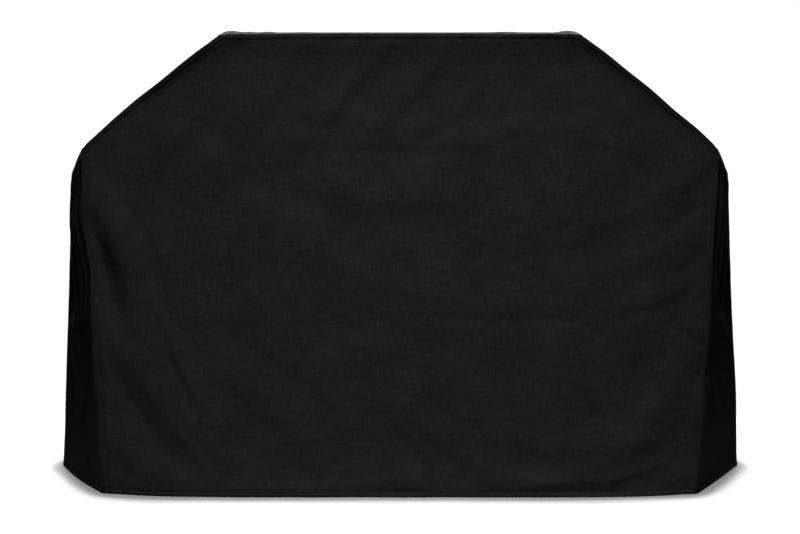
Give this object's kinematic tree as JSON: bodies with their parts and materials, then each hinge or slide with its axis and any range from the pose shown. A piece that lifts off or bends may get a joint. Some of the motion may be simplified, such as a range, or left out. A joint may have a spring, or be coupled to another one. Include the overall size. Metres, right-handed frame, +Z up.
{
  "type": "grill cover",
  "caption": "Fitted black cloth cover for a gas grill: hexagonal front and back, a folded side gusset over slopes and flat top, bound hem, inner tie-down straps.",
  "frame": {"origin": "centre of the bounding box at the floor, in the hem's plane", "axes": "+X to the right seen from the front, -Y to the front, +Z up"},
  "size_m": [1.8876, 0.6016, 1.201],
  "materials": {
    "cloth": "matte coated weave",
    "seam_cloth": "matte coated weave, stitched",
    "hem_tape": "matte woven tape",
    "patch_cloth": "matte coated weave",
    "webbing": "woven webbing",
    "hook_tape": "matte, fine hooks",
    "loop_tape": "brushed loops"
  },
  "bodies": {
    "cover": {"back_hem_binding": "hem_tape", "back_panel": "cloth", "back_seam_welt": "seam_cloth", "front_hem_binding": "hem_tape", "front_panel": "cloth", "front_seam_welt": "seam_cloth", "left_back_strap_anchor": "webbing", "left_back_strap_patch": "patch_cloth", "left_front_strap_anchor": "webbing", "left_front_strap_patch": "patch_cloth", "left_shoulder_welt": "seam_cloth", "left_side_hem_binding": "hem_tape", "left_side_panel": "cloth", "left_slope_panel": "cloth", "left_top_corner_welt": "seam_cloth", "right_back_strap_anchor": "webbing", "right_back_strap_patch": "patch_cloth", "right_front_strap_anchor": "webbing", "right_front_strap_patch": "patch_cloth", "right_shoulder_welt": "seam_cloth", "right_side_hem_binding": "hem_tape", "right_side_panel": "cloth", "right_slope_panel": "cloth", "right_top_corner_welt": "seam_cloth", "top_panel": "cloth"},
    "left_back_strap": {"left_back_loop_tape": "loop_tape", "left_back_strap": "webbing"},
    "left_front_strap": {"left_front_hook_tape": "hook_tape", "left_front_strap": "webbing"},
    "right_back_strap": {"right_back_loop_tape": "loop_tape", "right_back_strap": "webbing"},
    "right_front_strap": {"right_front_hook_tape": "hook_tape", "right_front_strap": "webbing"}
  },
  "joints": [
    {"name": "right_front_strap_swing", "type": "hinge", "parent": "cover", "child": "right_front_strap", "pos_m": [0.84721, -0.14294, 0.322], "axis": [0.4328, 0.9015, 0], "range_deg": [0, 140]},
    {"name": "right_back_strap_swing", "type": "hinge", "parent": "cover", "child": "right_back_strap", "pos_m": [0.84721, 0.14294, 0.322], "axis": [-0.4328, 0.9015, 0], "range_deg": [0, 140]},
    {"name": "left_front_strap_swing", "type": "hinge", "parent": "cover", "child": "left_front_strap", "pos_m": [-0.84721, -0.14294, 0.322], "axis": [0.4328, -0.9015, 0], "range_deg": [0, 140]},
    {"name": "left_back_strap_swing", "type": "hinge", "parent": "cover", "child": "left_back_strap", "pos_m": [-0.84721, 0.14294, 0.322], "axis": [-0.4328, -0.9015, 0], "range_deg": [0, 140]}
  ]
}
